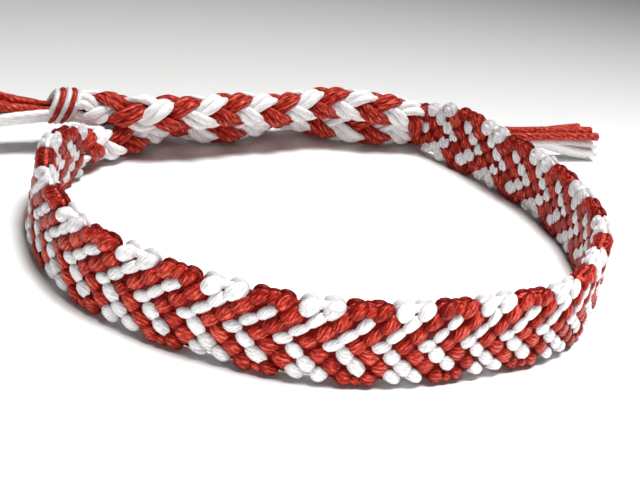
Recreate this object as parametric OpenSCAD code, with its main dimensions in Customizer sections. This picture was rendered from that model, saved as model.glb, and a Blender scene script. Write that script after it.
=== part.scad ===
// Friendship bracelet: a knotted band of hearts on edge, closed by two knotted braids with loose tails.
// The origin is the middle of the loop on the surface it stands on, X to the right, Y away, Z up.

/* [Loop] */
// Width of the loop, left to right, between the middles of its walls
loop_w = 59; // [56:1:66]
// Depth of the loop, front to back, between the middles of its walls
loop_d = 58; // [55:1:66]

/* [Band] */
// Height of the knotted band as it stands on edge
band_w = 7.8; // [6.6:0.2:9.4]
// Thickness of the band from the knots of one face to the knots of the other
band_t = 2; // [1.6:0.1:2.6]
// How far each knot stands out of the hollows round it
knot_relief = 0.35; // [0.2:0.05:0.5]
// How far the edge draws in between two edge knots
edge_dip = 0.45; // [0.2:0.05:0.7]
// Length of one heart of the pattern along the band
heart_len = 8.6; // [7.6:0.2:10]

/* [Braids] */
// Width of a strand, which is two strings side by side, where it lies on the outside of the braid
strand_w = 1.9; // [1.6:0.1:2]
// Thickness of a strand where it lies on the outside of the braid
strand_t = 0.88; // [0.82:0.02:0.9]
// Space that the strands leave between them round the braid
strand_gap = 0.2; // [0.18:0.01:0.24]
// Length of braid in which a strand goes once round it
braid_lay = 7; // [6.8:0.1:7.2]
// Space between the band's end and the strands that leave it
end_gap = 0.2; // [0.1:0.05:0.3]
// Length over which the strands gather from the band's right end into the upper braid
gather_right = 3; // [2.8:0.2:3.6]
// Length over which the strands gather from the band's left end into the lower braid
gather_left = 4.6; // [4.4:0.2:5.2]

/* [Knots] */
// Outer diameter of each knot
knot_d = 4.6; // [4.4:0.1:5.2]
// Length of each knot along its braid
knot_len = 3.4; // [2.8:0.2:4]
// Space between a knot and the strands that it holds
knot_gap = 0.18; // [0.14:0.02:0.24]

/* [Hidden] */
red = "firebrick";
white = "whitesmoke";

// Knots across the band, counted from its top edge to its bottom edge
columns = 7;
// Rows of knots in one heart
heart_rows = 8;
row_pitch = heart_len / heart_rows;
// Steps of the smooth curve between two rows of a table
curve_steps = 12;
// Sides of a strand, and its rings in a quarter turn round the braid
strand_sides = 6;
quarter_rings = 2;
// Spacing of a strand's rings where it gathers and in its tail
gather_step = 1.1;
tail_step = 2.2;
// Length over which the strands run straight before a knot
knot_lead = 1;
// Share by which a knot draws the strands together
knot_pinch = 0.16;
// Shares of its width and thickness that a strand keeps where it passes inside the braid and under a knot
inner_w = 0.46;
inner_t = 0.87;
// Wraps that show along a knot
knot_wraps = 3;

// Strands lie round the braid's middle at this mean distance and swing in and out of it
strand_orbit = strand_t + strand_gap;
strand_swing = strand_orbit * 0.53;
knot_bore_d = 2 * strand_orbit * (1 - knot_pinch) + strand_t + 2 * knot_gap;

// Band from its left end, round the front to its right end. The columns are the angle seen from above,
// the distance from the middle as a share of half the loop, the inward lean in degrees,
// the height as a share of the band's and the lift of the lower edge as a share of that height.
BAND = [
    [177.5, 0.937, 3, 0.8, 0.03],
    [185, 0.968, 3, 0.93, 0],
    [193, 1.003, 4, 1, 0],
    [209, 1.035, 6, 1, 0],
    [226, 1.05, 5, 1, 0],
    [241, 1.033, 8, 1, 0],
    [256, 1.003, 6, 1, 0],
    [273, 0.993, 7, 1, 0],
    [290, 0.973, 8, 1, 0],
    [308, 0.963, 6, 1, 0],
    [325, 1, 4, 1, 0],
    [341, 0.994, 3, 1, 0],
    [358, 1.004, 1, 1, 0],
    [377, 0.997, 1, 1, 0],
    [393, 1.002, 3, 1, 0],
    [406, 1.002, 4, 1, 0],
    [415, 1.006, -3, 1.02, 0],
    [423, 1.02, -5, 0.98, 0.01],
    [430, 1.048, 0, 0.7, 0.16]
];

// Middle line of each braid from where it leaves the band to the ends of its tails. The columns are the
// angle, the distance from the middle as a share of half the loop, and the height as a share of the band's.
UPPER = [
    [435, 0.996, 0.64],
    [441, 0.921, 0.69],
    [448, 0.885, 0.72],
    [455, 0.851, 0.7],
    [462.5, 0.8, 0.67],
    [471, 0.748, 0.64],
    [480, 0.733, 0.67],
    [489.5, 0.722, 0.69],
    [499, 0.731, 0.69],
    [506, 0.767, 0.68],
    [512.5, 0.82, 0.685],
    [517, 0.879, 0.685],
    [519.5, 0.947, 0.685],
    [522, 1.02, 0.68],
    [524.5, 1.097, 0.67],
    [528, 1.178, 0.65],
    [532, 1.274, 0.64],
    [536, 1.393, 0.6],
    [539.5, 1.508, 0.54]
];
LOWER = [
    [172.5, 0.937, 0.36],
    [167, 0.935, 0.29],
    [162, 0.904, 0.26],
    [156, 0.88, 0.26],
    [147, 0.878, 0.32],
    [141, 0.872, 0.36],
    [137, 0.851, 0.33],
    [132, 0.818, 0.28],
    [125, 0.798, 0.28],
    [116.5, 0.822, 0.33],
    [108.5, 0.866, 0.42],
    [100.5, 0.902, 0.34],
    [93.5, 0.916, 0.27],
    [87, 0.932, 0.26],
    [80.5, 0.979, 0.26],
    [75.5, 1.057, 0.26],
    [69, 1.175, 0.27],
    [65, 1.208, 0.3],
    [61, 1.24, 0.34],
    [56.5, 1.29, 0.36],
    [53, 1.432, 0.34],
    [50, 1.593, 0.31],
    [47.5, 1.77, 0.27]
];
// Rows of the two tables at which the knots sit
upper_knot_row = 14;
lower_knot_row = 18;

// Turn of each braid about its own line: at its start, at its end, and the share of the way where it changes
upper_twist = [114, 204, 0.8];
lower_twist = [24, 24, 0.5];
// Share of the way over which that turn takes place
twist_span = 0.24;

// Tails of each braid, a row for each strand. The columns are how far the end lies outwards and upwards
// of the tail's middle line, as shares of the band's height, and the share of the tail's length that it has.
UPPER_TAILS = [
    [-0.08, -0.24, 0.94],
    [0.08, 0.33, 1],
    [-0.09, 0.12, 0.96],
    [0.08, -0.1, 0.9]
];
LOWER_TAILS = [
    [-0.07, -0.22, 0.98],
    [0.09, 0.31, 0.83],
    [-0.09, 0.26, 0.95],
    [0.08, -0.04, 0.99]
];

function unit(v) = v / norm(v);
function mix(a, b, t) = a + (b - a) * t;
function clamp01(t) = min(max(t, 0), 1);
function ease(t) = let (c = clamp01(t)) c * c * (3 - 2 * c);
function xyz(row) = [row[0], row[1], row[2]];

// A point of a table, given its angle, share and height
function on_loop(angle, share, z) = [loop_w / 2 * share * cos(angle), loop_d / 2 * share * sin(angle), z];

// Smooth curve through the rows of a list, by the cubic that passes through four neighbours
function cubic(a, b, c, d, t) =
    ((b * 2) + (c - a) * t + (a * 2 - b * 5 + c * 4 - d) * t * t + (b * 3 - a - c * 3 + d) * t * t * t) / 2;
function smooth(rows) = let (last = len(rows) - 1) [
    for (i = [0 : last - 1], j = [0 : curve_steps - 1])
        cubic(rows[max(i - 1, 0)], rows[i], rows[i + 1], rows[min(i + 2, last)], j / curve_steps),
    rows[last]
];

// Length along a curve up to each of its points
function lengths(curve) = let (last = len(curve) - 1) [
    for (i = 0, s = 0; i <= last; i = i + 1, s = s + norm(xyz(curve[min(i, last)]) - xyz(curve[i - 1])))
        s
];
function by_length(s) = [for (i = [0 : len(s) - 1]) [s[i], i]];

// Row of a curve at a length along it
function row_at(curve, index_by_length, s) = let (
    f = lookup(s, index_by_length),
    i = min(floor(f), len(curve) - 2)
) mix(curve[i], curve[i + 1], f - i);

// Band: lower middle line, its lean, and its height and lift
band_curve = smooth([
    for (r = BAND) concat(on_loop(r[0], r[1], 0), [r[2], r[3] * band_w, r[3] * r[4] * band_w])
]);
band_lengths = lengths(band_curve);
band_index = by_length(band_lengths);
band_length = band_lengths[len(band_lengths) - 1];
band_rows = round(band_length / row_pitch);

function band_foot(s) = xyz(row_at(band_curve, band_index, min(max(s, 0), band_length)));
function band_tangent(s) = unit(band_foot(s + row_pitch / 2) - band_foot(s - row_pitch / 2));

// Frame of the band at a length along it: foot, outward direction, upward direction and height
function band_frame(s) = let (
    r = row_at(band_curve, band_index, s),
    t = band_tangent(s),
    out = [t[1], -t[0], 0],
    lean = r[3],
    up = [0, 0, cos(lean)] - out * sin(lean),
    face = out * cos(lean) + [0, 0, sin(lean)]
) [xyz(r) + [0, 0, r[5]], face, up, r[4]];

// Cross-section of the band at a row of knots: top edge, outer face, bottom edge, inner face
function band_ring(row) = let (
    f = band_frame(row * band_length / band_rows),
    dip = row % 2 == 0 ? 0 : edge_dip,
    bump = function (u) band_t / 2 - ((row + u) % 2 == 0 ? 0 : knot_relief)
) [
    f[0] + f[2] * (f[3] - dip),
    for (u = [0 : columns - 1]) f[0] + f[2] * f[3] * (1 - (u + 0.5) / columns) + f[1] * bump(u),
    f[0] + f[2] * dip,
    for (u = [columns - 1 : -1 : 0]) f[0] + f[2] * f[3] * (1 - (u + 0.5) / columns) - f[1] * bump(u)
];

// Solid skin over a list of rings, with each strip of faces split along the direction that slant gives it
module skin(rings, slant) {
    n = len(rings[0]);
    last = len(rings) - 1;
    sides = [
        for (i = [0 : last - 1], j = [0 : n - 1])
            let (a = i * n + j, b = i * n + (j + 1) % n, c = b + n, d = a + n)
                each (slant[j] ? [[a, c, b], [a, d, c]] : [[a, d, b], [b, d, c]])
    ];
    polyhedron(
        points = [for (r = rings) each r],
        faces = concat(sides, [[for (j = [0 : n - 1]) j]], [[for (j = [n - 1 : -1 : 0]) last * n + j]]),
        convexity = 6
    );
}

// Line of a braid, from the band's end to the tips of its tails
function leaving(s, way) = let (f = band_frame(s), t = band_tangent(s) * way)
    f[0] + f[2] * f[3] / 2 + t * end_gap;
function braid_curve(start, table) =
    smooth(concat([start], [for (r = table) on_loop(r[0], r[1], r[2] * band_w)]));

upper_curve = braid_curve(leaving(band_length, 1), UPPER);
lower_curve = braid_curve(leaving(0, -1), LOWER);

// One braid: its curve, its length table, the middle of its knot, the band's frame and way at its start,
// its turn, its tails, its whole length and the length over which it gathers
function braid(curve, knot_row, s, way, twist, tails, gather) = let (l = lengths(curve)) [
    curve, by_length(l), l[(knot_row + 1) * curve_steps], band_frame(s),
    way, twist, tails, l[len(l) - 1], gather
];
upper = braid(upper_curve, upper_knot_row, band_length, 1, upper_twist, UPPER_TAILS, gather_right);
lower = braid(lower_curve, lower_knot_row, 0, -1, lower_twist, LOWER_TAILS, gather_left);

function line_point(b, s) = row_at(b[0], b[1], clamp01(s / b[7]) * b[7]);
function line_tangent(b, s) = unit(line_point(b, s + 0.3) - line_point(b, s - 0.3));

// Directions across a braid's line: away from the middle of the loop, and upwards
function line_out(b, s) = let (t = line_tangent(b, s)) unit([t[1], -t[0], 0]) * b[4];
function line_up(b, s) = cross(line_out(b, s), line_tangent(b, s)) * b[4];

// Quarter turns that fit between the gathered strands and the knot
function braided_len(b) = b[2] - knot_len / 2 - knot_lead - b[8];
function quarter_turns(b) = round(braided_len(b) / braid_lay * 4);
function phase(b, s) = 45 + 90 * quarter_turns(b) * clamp01((s - b[8]) / braided_len(b));
function turn(b, s) = mix(b[5][0], b[5][1], ease((s / b[2] - b[5][2]) / twist_span + 0.5));

// Place of a strand across the braid: two strands go round one way and two the other
function way_round(i) = i < 2 ? 1 : -1;
function pinch(b, s) = 1 - knot_pinch * ease((s - b[8] - braided_len(b)) / (knot_lead * 0.8));
function strand_spot(b, i, s) = let (
    angle = way_round(i) * phase(b, s) + (i % 2) * 180 + turn(b, s),
    radius = strand_orbit + way_round(i) * strand_swing * cos(2 * phase(b, s))
) [cos(angle), sin(angle)] * pinch(b, s) * radius;

// How far outside the others a strand lies, from 0 to 1
function outside(b, i, s) = pow((1 + way_round(i) * cos(2 * phase(b, s))) / 2, 1.5);

// Where a strand starts on the band's end, counted from the lower edge
function start_order(b, i) = let (up = [for (k = [0 : 3]) strand_spot(b, k, 0)[1]])
    len([for (k = [0 : 3]) if (up[k] < up[i]) k]);

// Middle of a strand and the direction of its thin side at a length along the braid
function strand_point(b, i, s) = let (
    p = line_point(b, s),
    out = line_out(b, s),
    up = line_up(b, s),
    spot = strand_spot(b, i, s),
    braided = p + out * spot[0] + up * spot[1],
    frame = b[3],
    fan = frame[2] * frame[3] * ((start_order(b, i) + 0.5) / 4 - 0.5) + p,
    tail = b[6][i],
    spread = ease((s - b[2] - knot_len / 2) / (b[7] - b[2] - knot_len / 2)),
    tip = p + out * tail[0] * band_w + up * tail[1] * band_w
) s < b[8] ? mix(fan, braided, ease(s / b[8])) : mix(braided, tip, spread);
function strand_thin(b, i, s) = let (
    spot = unit(strand_spot(b, i, s)),
    radial = line_out(b, s) * spot[0] + line_up(b, s) * spot[1],
    side = b[3][1] * sign(b[3][1] * radial)
) s < b[8] ? unit(mix(side, radial, ease(s / b[8]))) : radial;

// Stations of a strand: close together in the braid, further apart in the tail
function strand_stations(b, i) = let (
    stop = b[8] + braided_len(b),
    from = b[2] + knot_len / 2,
    to = mix(from, b[7], b[6][i][2]),
    l = ceil(b[8] / gather_step),
    n = quarter_turns(b) * quarter_rings,
    m = ceil((to - from) / tail_step)
) concat(
    [for (k = [0 : l - 1]) b[8] * k / l],
    [for (k = [0 : n]) mix(b[8], stop, k / n)],
    [stop + knot_lead, for (k = [0 : m]) mix(from, to, k / m)]
);

// Flattened cross-section of a strand
function strand_ring(b, i, s) = let (
    p = strand_point(b, i, s),
    along = unit(strand_point(b, i, s + 0.2) - strand_point(b, i, s - 0.2)),
    t = s == 0 ? cross(b[3][2], b[3][1]) * b[4] : along,
    thin0 = strand_thin(b, i, s),
    thin = unit(thin0 - t * (thin0 * t)),
    share = outside(b, i, s),
    wide = cross(thin, t) * strand_w / 2 * mix(inner_w, 1, share),
    deep = thin * strand_t / 2 * mix(inner_t, 1, share)
) [for (k = [0 : strand_sides - 1]) let (a = 360 * k / strand_sides) p + wide * cos(a) + deep * sin(a)];

module strand(b, i) {
    skin([for (s = strand_stations(b, i)) strand_ring(b, i, s)], [for (k = [1 : strand_sides]) false]);
}

// Knot that ties a braid off: wraps of string side by side round a bore for the strands
module knot(b) {
    p = line_point(b, b[2]);
    t = line_tangent(b, b[2]);
    wrap_d = (knot_d - knot_bore_d) / 2;
    wrap_pitch = (knot_len - wrap_d) / (knot_wraps - 1);
    translate(p)
        rotate([0, acos(t[2]), atan2(t[1], t[0])])
            rotate_extrude($fn = 48)
                translate([knot_bore_d / 2 + wrap_d / 2, 0])
                    union() {
                        for (k = [0 : knot_wraps - 1])
                            translate([0, (k - (knot_wraps - 1) / 2) * wrap_pitch])
                                circle(d = wrap_d, $fn = 32);
                        square([wrap_d * 0.7, knot_len - wrap_d], center = true);
                    }
}

module band() {
    slant = [for (j = [0 : 2 * columns + 1]) (j > columns / 2 && j <= columns) || j > columns * 1.5 + 1];
    color(red) skin([for (row = [0 : band_rows]) band_ring(row)], slant);
}
module knot_left() {
    color(white) knot(upper);
}
module knot_right() {
    color(white) knot(lower);
}
module braid_upper_white_1() {
    color(white) strand(upper, 0);
}
module braid_upper_red_1() {
    color(red) strand(upper, 1);
}
module braid_upper_red_2() {
    color(red) strand(upper, 2);
}
module braid_upper_white_2() {
    color(white) strand(upper, 3);
}
module braid_lower_white_1() {
    color(white) strand(lower, 0);
}
module braid_lower_red_1() {
    color(red) strand(lower, 1);
}
module braid_lower_red_2() {
    color(red) strand(lower, 2);
}
module braid_lower_white_2() {
    color(white) strand(lower, 3);
}

band();
knot_left();
knot_right();
braid_upper_white_1();
braid_upper_red_1();
braid_upper_red_2();
braid_upper_white_2();
braid_lower_white_1();
braid_lower_red_1();
braid_lower_red_2();
braid_lower_white_2();
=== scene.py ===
"""Friendship bracelet of six-ply embroidery floss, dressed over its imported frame.

A band of plump half-hitch knots in red and white hearts stands on edge. Eight strings leave each of its ends
and are braided in ribbons of two, and each braid ends in an overhand knot and short loose tails.
Lengths are in metres, with X to the right, Y away from the viewer and Z up.
"""

import logging
import math
from dataclasses import astuple, dataclass, field
from enum import Enum

import bpy
import numpy as np
from mathutils import Matrix


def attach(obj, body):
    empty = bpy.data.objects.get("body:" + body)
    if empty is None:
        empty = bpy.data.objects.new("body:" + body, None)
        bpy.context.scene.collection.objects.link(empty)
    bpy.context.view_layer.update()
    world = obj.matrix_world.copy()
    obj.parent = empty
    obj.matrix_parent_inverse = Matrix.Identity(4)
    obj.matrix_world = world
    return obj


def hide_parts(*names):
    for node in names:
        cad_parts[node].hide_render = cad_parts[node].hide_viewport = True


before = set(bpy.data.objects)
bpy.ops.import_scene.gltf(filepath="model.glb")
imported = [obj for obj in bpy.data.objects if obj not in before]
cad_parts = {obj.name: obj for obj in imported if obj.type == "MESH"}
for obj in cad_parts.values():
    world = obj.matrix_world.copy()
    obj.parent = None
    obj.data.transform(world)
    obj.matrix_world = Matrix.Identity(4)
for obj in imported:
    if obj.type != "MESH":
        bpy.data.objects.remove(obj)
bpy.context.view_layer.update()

Array = np.ndarray
Tree = bpy.types.NodeTree
LOG = logging.getLogger("bracelet")
MM = 0.001

# Plies that are twisted into one string of floss, and sides of a ring for each of them
PLIES = 6
PER_PLY = 4
# Stations of the smooth curve between two rows of a table, as in the part's source
CURVE_STEPS = 12

# Band from its left end, round the front to its right end: angle seen from above, distance from the middle
# as a share of half the loop, inward lean in degrees, height as a share of the band's, lift as a share of it
BAND_TABLE = np.array([
    [177.5, 0.937, 3, 0.8, 0.03],
    [185, 0.968, 3, 0.93, 0],
    [193, 1.003, 4, 1, 0],
    [209, 1.035, 6, 1, 0],
    [226, 1.05, 5, 1, 0],
    [241, 1.033, 8, 1, 0],
    [256, 1.003, 6, 1, 0],
    [273, 0.993, 7, 1, 0],
    [290, 0.973, 8, 1, 0],
    [308, 0.963, 6, 1, 0],
    [325, 1, 4, 1, 0],
    [341, 0.994, 3, 1, 0],
    [358, 1.004, 1, 1, 0],
    [377, 0.997, 1, 1, 0],
    [393, 1.002, 3, 1, 0],
    [406, 1.002, 4, 1, 0],
    [415, 1.006, -3, 1.02, 0],
    [423, 1.02, -5, 0.98, 0.01],
    [430, 1.048, 0, 0.7, 0.16],
])

# Middle line of each braid: angle, distance from the middle as a share of half the loop, height as a share
# of the band's
UPPER_TABLE = np.array([
    [435, 0.996, 0.64],
    [441, 0.921, 0.69],
    [448, 0.885, 0.72],
    [455, 0.851, 0.7],
    [462.5, 0.8, 0.67],
    [471, 0.748, 0.64],
    [480, 0.733, 0.67],
    [489.5, 0.722, 0.69],
    [499, 0.731, 0.69],
    [506, 0.767, 0.68],
    [512.5, 0.82, 0.685],
    [517, 0.879, 0.685],
    [519.5, 0.947, 0.685],
    [522, 1.02, 0.68],
    [524.5, 1.097, 0.67],
    [528, 1.178, 0.65],
    [532, 1.274, 0.64],
    [536, 1.393, 0.6],
    [539.5, 1.508, 0.54],
])
LOWER_TABLE = np.array([
    [172.5, 0.937, 0.36],
    [167, 0.935, 0.29],
    [162, 0.904, 0.26],
    [156, 0.88, 0.26],
    [147, 0.878, 0.32],
    [141, 0.872, 0.36],
    [137, 0.851, 0.33],
    [132, 0.818, 0.28],
    [125, 0.798, 0.28],
    [116.5, 0.822, 0.33],
    [108.5, 0.866, 0.42],
    [100.5, 0.902, 0.34],
    [93.5, 0.916, 0.27],
    [87, 0.932, 0.26],
    [80.5, 0.979, 0.26],
    [75.5, 1.057, 0.26],
    [69, 1.175, 0.27],
    [65, 1.208, 0.3],
    [61, 1.24, 0.34],
    [56.5, 1.29, 0.36],
    [53, 1.432, 0.34],
    [50, 1.593, 0.31],
    [47.5, 1.77, 0.27],
])

# Tails, a row for each strand: how far the end lies outwards and upwards, as shares of the band's height,
# and the share of the tail's length that the strand has
UPPER_TAILS = np.array([[-0.08, -0.22, 0.94], [0.08, 0.37, 1], [-0.07, 0.17, 0.96], [0.08, -0.07, 0.9]])
LOWER_TAILS = np.array([[-0.05, -0.18, 0.98], [0.03, 0.25, 0.85], [-0.03, 0.2, 0.95], [0.05, -0.05, 0.99]])

# One heart of the knot chart, a line for each row of knots and a letter for each place across the band
HEART_CHART = ("W.W.W.W", ".W.R.W.", "W.R.R.W", ".R.W.R.", "R.W.W.R", ".W.R.W.", "R.R.R.R", ".R.W.R.")
# Row of the chart that the band's first row of knots has
FIRST_CHART_ROW = 2
# Strands of each braid, by the colour of their floss
STRANDS = ("white_1", "red_1", "red_2", "white_2")


class Yarn(Enum):
    """Colours of floss in the bracelet."""

    RED = "R"
    WHITE = "W"


class Face(Enum):
    """Faces of the band, as the sign of their distance from its middle."""

    OUTER = 1
    INNER = -1


def unit(v: Array) -> Array:
    """Vectors divided by their lengths."""
    return v / np.linalg.norm(v, axis=-1, keepdims=True)


def mix(a: Array, b: Array, t: Array) -> Array:
    """Straight-line mix: a where t is 0 and b where t is 1."""
    return a + (b - a) * t


def ease(t: Array) -> Array:
    """Smooth step from 0 to 1, three times t squared less twice t cubed."""
    c = np.clip(t, 0, 1)
    return c * c * (3 - 2 * c)


class Path:
    """Smooth curve through the rows of a table, looked up by the length along it."""

    def __init__(self, rows: Array) -> None:
        """Work out the curve's points and the length up to each of them.

        The curve between rows b and c, with neighbours a and d, is the cubic
        (2b + (c - a)t + (2a - 5b + 4c - d)t^2 + (3b - a - 3c + d)t^3) / 2.

        Args:
            rows: A row for each point; the first three columns are its place.
        """
        padded = np.vstack([rows[:1], rows, rows[-1:]])
        a, b, c, d = (padded[k : len(rows) - 1 + k, None, :] for k in range(4))
        t = (np.arange(CURVE_STEPS) / CURVE_STEPS)[None, :, None]
        bend, hook = 2 * a - 5 * b + 4 * c - d, 3 * b - a - 3 * c + d
        curve = (2 * b + (c - a) * t + bend * t**2 + hook * t**3) / 2
        self.rows = np.vstack([curve.reshape(-1, rows.shape[1]), rows[-1:]])
        steps = np.linalg.norm(np.diff(self.rows[:, :3], axis=0), axis=1)
        self.lengths = np.concatenate([[0], np.cumsum(steps)])
        self.total = float(self.lengths[-1])

    def at(self, s: Array) -> Array:
        """Rows of the curve at the lengths s along it."""
        return np.stack([np.interp(s, self.lengths, column) for column in self.rows.T], -1)


@dataclass
class BandLine:
    """Middle surface of the band, from its left end round the front to its right end."""

    loop_w: float = 59 * MM
    loop_d: float = 58 * MM
    height: float = 7.8 * MM
    heart_len: float = 8.6 * MM
    columns: int = 7

    def __post_init__(self) -> None:
        """Make the path of the lower edge and count the rows of knots."""
        angle, share, lean, high, lift = BAND_TABLE.T
        foot = self.on_loop(angle, share, 0 * angle)
        self.path = Path(np.column_stack([foot, lean, high * self.height, high * lift * self.height]))
        self.length = self.path.total
        self.row_pitch = self.heart_len / len(HEART_CHART)
        self.rows = round(self.length / self.row_pitch)

    def on_loop(self, angle: Array, share: Array, height: Array) -> Array:
        """Places round the loop: half its width and depth times the share, turned by the angle in degrees."""
        turn = np.radians(angle)
        x, y = self.loop_w / 2 * share * np.cos(turn), self.loop_d / 2 * share * np.sin(turn)
        return np.stack([x, y, height], -1)

    def tangent(self, s: Array) -> Array:
        """Direction along the lower edge, from half a row before to half a row after."""
        half = self.row_pitch / 2
        before, after = (self.path.at(np.clip(s + d, 0, self.length))[..., :3] for d in (-half, half))
        return unit(after - before)

    def frame(self, s: Array) -> tuple[Array, Array, Array, Array]:
        """Frame of the band at lengths along it.

        Args:
            s: Lengths along the lower edge.

        Returns:
            The foot, the outward direction, the upward direction in the band, and the band's height.
        """
        row = self.path.at(s)
        t = self.tangent(s)
        out = unit(np.stack([t[..., 1], -t[..., 0], 0 * t[..., 0]], -1))
        up = np.zeros_like(out)
        up[..., 2] = 1
        lean = np.radians(row[..., 3:4])
        foot = row[..., :3] + up * row[..., 5:6]
        face, rise = out * np.cos(lean) + up * np.sin(lean), up * np.cos(lean) - out * np.sin(lean)
        return foot, face, rise, row[..., 4:5]

    def place(self, row: Array, column: Array, proud: Array) -> Array:
        """Points of the band.

        Args:
            row: Rows of knots from the left end, whole or not.
            column: Places across the band, -0.5 at the top edge and 6.5 at the bottom edge.
            proud: Distance outwards from the band's middle surface.

        Returns:
            The foot plus the upward direction times what is left of the height, plus the outward direction
            times proud.
        """
        foot, face, up, height = self.frame(row * self.length / self.rows)
        rise = height * (1 - (column[..., None] + 0.5) / self.columns)
        return foot + up * rise + face * proud[..., None]


@dataclass
class Weft:
    """Faces of one piece, gathered batch by batch and written to one mesh."""

    name: str
    points: list[Array] = field(default_factory=list)
    corners: list[Array] = field(default_factory=list)
    counts: list[Array] = field(default_factory=list)
    plies: list[Array] = field(default_factory=list)
    tones_and_shades: list[Array] = field(default_factory=list)

    def add_points(self, points: Array, tone: Array) -> Array:
        """Add points with the shade of each, and give their numbers in the mesh."""
        first = sum(len(p) for p in self.points)
        self.points.append(points.reshape(-1, 3))
        self.tones_and_shades.append(tone.reshape(-1))
        return first + np.arange(tone.size).reshape(tone.shape)

    def add_faces(self, corners: Array, u: Array, v: Array) -> None:
        """Add faces, from the numbers of their corners and the place of each corner in the ply map."""
        count = corners.shape[-1]
        self.corners.append(corners.reshape(-1))
        self.counts.append(np.full(corners.size // count, count))
        self.plies.append(np.stack([u, v], -1).reshape(-1, 2))

    def tubes(
        self,
        rings: Array,
        along: Array,
        around: Array,
        tone: Array,
        closed: bool = False,
        slant: float = 0.0,
    ) -> None:
        """Add a batch of tubes, each a list of rings.

        A corner's place in the ply map is the length along the tube in millimetres and the number of plies
        round it, so that a line of the map follows a ply wherever the rings are turned.

        Args:
            rings: Points, tube by ring by side.
            along: Length at each ring in millimetres, tube by ring.
            around: Number of plies at each side, one more than there are sides.
            tone: Darker or lighter shade about 0, for each point or for each tube: random tone together with
                painted shade.
            closed: True where the last ring joins the first, otherwise a fan closes each end.
            slant: Plies that are crossed for each millimetre along the tube.
        """
        tubes, count, sides = rings.shape[:3]
        shades = tone.reshape(tubes, *tone.shape[1:], *[1] * (3 - tone.ndim))
        tone = np.broadcast_to(shades, rings.shape[:3])
        index = self.add_points(rings, tone)
        side = np.arange(sides)
        beside = (side + 1) % sides
        step = np.arange(count if closed else count - 1)
        before, after = index[:, step], index[:, (step + 1) % count]
        quads = np.stack([before, before[..., beside], after[..., beside], after], -1)
        reach = np.concatenate([along, along[:, -1:] + (along[:, 1:2] - along[:, :1])], 1)
        near, far = (reach[:, ends, None] for ends in (step, step + 1))
        u = np.stack([np.broadcast_to(ring, quads.shape[:3]) for ring in (near, near, far, far)], -1)
        turns = (around[k] for k in (side, side + 1, side + 1, side))
        v = np.stack([np.broadcast_to(turn, quads.shape[:3]) for turn in turns], -1) + slant * u
        self.add_faces(quads, u, v)
        if closed:
            return
        for end, order in ((0, (1, 0)), (-1, (0, 1))):
            # A fan of triangles round a pole at the middle of the end's ring
            pole = self.add_points(rings[:, end].mean(1), tone[:, end].mean(1))
            ring = [index[:, end], index[:, end][:, beside]]
            turn = [np.broadcast_to(around[k], ring[0].shape) for k in (side, side + 1)]
            middle, between = np.broadcast_to(pole[:, None], ring[0].shape), (turn[0] + turn[1]) / 2
            fan = np.stack([*(ring[k] for k in order), middle], -1)
            u = np.broadcast_to(along[:, end][:, None, None], fan.shape)
            v = np.stack([*(turn[k] for k in order), between], -1) + slant * u
            self.add_faces(fan, u, v)

    def weave(self, finish: "Finish", slot: str, *nodes: str) -> None:
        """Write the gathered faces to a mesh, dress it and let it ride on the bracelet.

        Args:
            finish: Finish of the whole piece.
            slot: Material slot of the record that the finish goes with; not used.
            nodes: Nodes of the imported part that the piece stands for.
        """
        points, corners = np.vstack(self.points), np.concatenate(self.corners)
        counts = np.concatenate(self.counts)
        mesh = bpy.data.meshes.new(self.name)
        mesh.vertices.add(len(points))
        mesh.vertices.foreach_set("co", points.astype(np.float32).ravel())
        mesh.loops.add(len(corners))
        mesh.loops.foreach_set("vertex_index", corners.astype(np.int32))
        mesh.polygons.add(len(counts))
        mesh.polygons.foreach_set("loop_start", (np.cumsum(counts) - counts).astype(np.int32))
        ply = mesh.uv_layers.new(name="ply")
        ply.data.foreach_set("uv", np.vstack(self.plies).astype(np.float32).ravel())
        # Each point's random darkening and its painted shade, which the materials read into their colour
        tone = mesh.attributes.new("tone", "FLOAT", "POINT")
        tone.data.foreach_set("value", np.concatenate(self.tones_and_shades).astype(np.float32))
        mesh.update(calc_edges=True)
        mesh.validate()
        mesh.shade_smooth()
        mesh.materials.append(finish.material())
        piece = bpy.data.objects.new(self.name, mesh)
        bpy.context.scene.collection.objects.link(piece)
        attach(piece, "root")
        if nodes:
            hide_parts(*nodes)
        LOG.info("%s: %d faces", self.name, len(counts))


def srgb(code: str) -> tuple[float, float, float, float]:
    """Linear colour of an sRGB hex value such as #B8281C."""
    parts = np.array([int(code[k : k + 2], 16) / 255 for k in (1, 3, 5)])
    linear = np.where(parts <= 0.04045, parts / 12.92, ((parts + 0.055) / 1.055) ** 2.4)
    return (*linear.tolist(), 1.0)


def add_node(tree: Tree, kind: str, settings: dict, links: dict | None = None) -> bpy.types.Node:
    """Add a shader node to a material.

    Args:
        tree: Node tree of the material.
        kind: Blender's name of the node after ShaderNode.
        settings: Values of its properties, or of its sockets where the key is a socket's name or number.
        links: Output socket for each of its input sockets, by name or number.

    Returns:
        The new node.
    """
    made = tree.nodes.new(f"ShaderNode{kind}")
    for key, value in settings.items():
        if isinstance(key, str) and hasattr(made, key):
            setattr(made, key, value)
        else:
            made.inputs[key].default_value = value
    for key, source in (links or {}).items():
        tree.links.new(source, made.inputs[key])
    return made


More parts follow.
